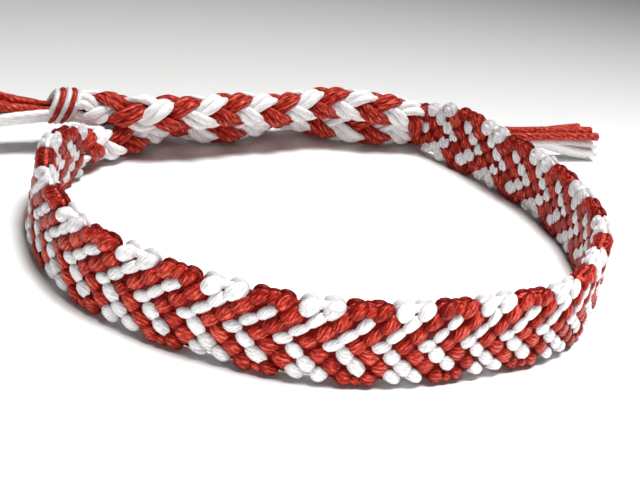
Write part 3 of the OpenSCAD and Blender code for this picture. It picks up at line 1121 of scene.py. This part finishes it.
    def knot(self) -> None:
        """Overhand knot that ties the braid off: strings side by side, wrapped slantwise round it.

        Each wrap is a closed ring: its middle goes round the braid at a radius that is largest in the middle
        of the knot, in a plane that leans back along the braid.
        """
        point, tangent, out, up = (v[0] for v in self.axes(np.array([self.knot_at])))
        lean = up - tangent * math.tan(math.radians(self.wrap_lean))
        a = np.arange(40) / 40 * math.tau
        for yarn, first in ((Yarn.WHITE, 0), (Yarn.RED, 1)):
            weft = Weft(f"{self.knot_node}_wraps_{yarn.name.lower()}")
            for k in range(first, self.wraps, 2):
                place = k - (self.wraps - 1) / 2
                radius = self.knot_d / 2 - self.wrap_seat - self.waist * place**2
                spoke = out * np.cos(a)[:, None] + lean * np.sin(a)[:, None]
                centre = point + tangent * place * self.wrap_pitch + spoke * radius
                ahead = unit(np.roll(centre, -1, 0) - np.roll(centre, 1, 0))
                thin = unit(spoke - ahead * (spoke * ahead).sum(-1, keepdims=True))
                wide = np.cross(thin, ahead)
                turn = np.round(radius * math.tau / self.ply_lay) * a
                rings = ply_rings(centre, wide * self.wrap_w, thin * self.wrap_t, turn)
                weft.tubes(rings[None], a[None] * radius / MM, plies_round(), np.zeros(1), closed=True)
            nodes = (self.knot_node,) if yarn is Yarn.WHITE else ()
            weft.weave(FLOSS[yarn], SLOT[yarn], *nodes)

    def build(self) -> None:
        """Make the strings and the knot of the braid."""
        for strand in range(len(STRANDS)):
            self.strings(strand)
        self.knot()


@dataclass
class Studio:
    """Paper, lights and the camera at the photograph's place."""

    eye: tuple[float, float, float] = (0.425 * MM, -111.775 * MM, 56.02 * MM)
    pitch: float = 27.07
    roll: float = 10.83
    # Focal length and width of the photograph in pixels, and its width on the sensor in millimetres
    focal_px: float = 1147.6
    photo_px: int = 640
    sensor: float = 36.0
    # Strength of the light that the pale room gives
    room_light: float = 0.015

    def paper(self) -> None:
        """Level sheet of paper under the bracelet, two metres each way."""
        corners = np.array([[-1, -1, 0], [1, -1, 0], [1, 1, 0], [-1, 1, 0]], float)
        mesh = bpy.data.meshes.new("paper")
        mesh.from_pydata(corners.tolist(), [], [(0, 1, 2, 3)])
        mesh.materials.append(PaperSweep().material())
        sheet = bpy.data.objects.new("paper", mesh)
        bpy.context.scene.collection.objects.link(sheet)

    def camera(self) -> None:
        """Camera that looks down by the pitch and is turned about its own line of sight by the roll."""
        p, r = math.radians(self.pitch), math.radians(self.roll)
        right, rise = np.array([1, 0, 0]), np.array([0, math.sin(p), math.cos(p)])
        ahead = np.array([0, math.cos(p), -math.sin(p)])
        across = math.cos(r) * right + math.sin(r) * rise
        above = math.cos(r) * rise - math.sin(r) * right
        data = bpy.data.cameras.new("camera")
        data.sensor_width = self.sensor
        data.lens = self.focal_px / self.photo_px * self.sensor
        data.clip_start = 0.005
        view = bpy.data.objects.new("camera", data)
        columns = np.column_stack([across, above, -ahead, np.array(self.eye)])
        view.matrix_world = Matrix(np.vstack([columns, [0, 0, 0, 1]]).tolist())
        bpy.context.scene.collection.objects.link(view)
        bpy.context.scene.camera = view

    def lamp(
        self,
        name: str,
        place: tuple[float, float, float],
        aim: tuple[float, float],
        size: float,
        power: float,
        spread: float,
    ) -> None:
        """Square softbox that faces the bracelet.

        Args:
            name: Name of the lamp.
            place: Where it hangs.
            aim: Place on the paper that it faces.
            size: Length of its side.
            power: Power in watts.
            spread: Angle of its beam in degrees.
        """
        data = bpy.data.lights.new(name, "AREA")
        data.size, data.energy, data.spread = size, power, math.radians(spread)
        lamp = bpy.data.objects.new(name, data)
        back = unit(np.array(place) - np.array([*aim, 0]))
        side = unit(np.cross([0, 1, 0.01], back))
        columns = np.column_stack([side, np.cross(back, side), back, np.array(place)])
        lamp.matrix_world = Matrix(np.vstack([columns, [0, 0, 0, 1]]).tolist())
        bpy.context.scene.collection.objects.link(lamp)

    def build(self) -> None:
        """Set the paper, the camera, the softboxes and the pale room."""
        self.paper()
        self.camera()
        # Its beam fades towards the back, where the paper is grey
        above = {"size": 0.25, "power": 2.53, "spread": 67.2}
        self.lamp("softbox_above", (0.126, 0.023, 0.586), (0.127, -0.245), **above)
        front = {"size": 0.12, "power": 0.14, "spread": 150}
        self.lamp("softbox_front", (0.04, -0.25, 0.03), (0, -0.03), **front)
        world = bpy.data.worlds.new("pale room")
        world.use_nodes = True
        sky = world.node_tree.nodes["Background"]
        sky.inputs["Color"].default_value = srgb("#EDEFF2")
        sky.inputs["Strength"].default_value = self.room_light
        bpy.context.scene.world = world
        bpy.context.scene.view_settings.view_transform = "Standard"


def main() -> None:
    """Build the studio and each sub-assembly in order."""
    logging.basicConfig(level=logging.INFO, format="%(message)s")
    Studio().build()
    line = BandLine()
    Band(line).build()
    Braid(
        name="upper",
        line=line,
        table=UPPER_TABLE,
        tails=UPPER_TAILS,
        knot_row=14,
        band_end=line.length,
        way=1,
        twist=(114, 204, 0.8),
        gather=3 * MM,
        offsets=(0, 90, 45, 135),
        knot_node="knot_left",
    ).build()
    Braid(
        name="lower",
        line=line,
        table=LOWER_TABLE,
        tails=LOWER_TAILS,
        knot_row=18,
        band_end=0.0,
        way=-1,
        twist=(24, 24, 0.5),
        gather=4.6 * MM,
        offsets=(90, 0, 45, 135),
        knot_node="knot_right",
    ).build()


if __name__ == "__main__":
    main()
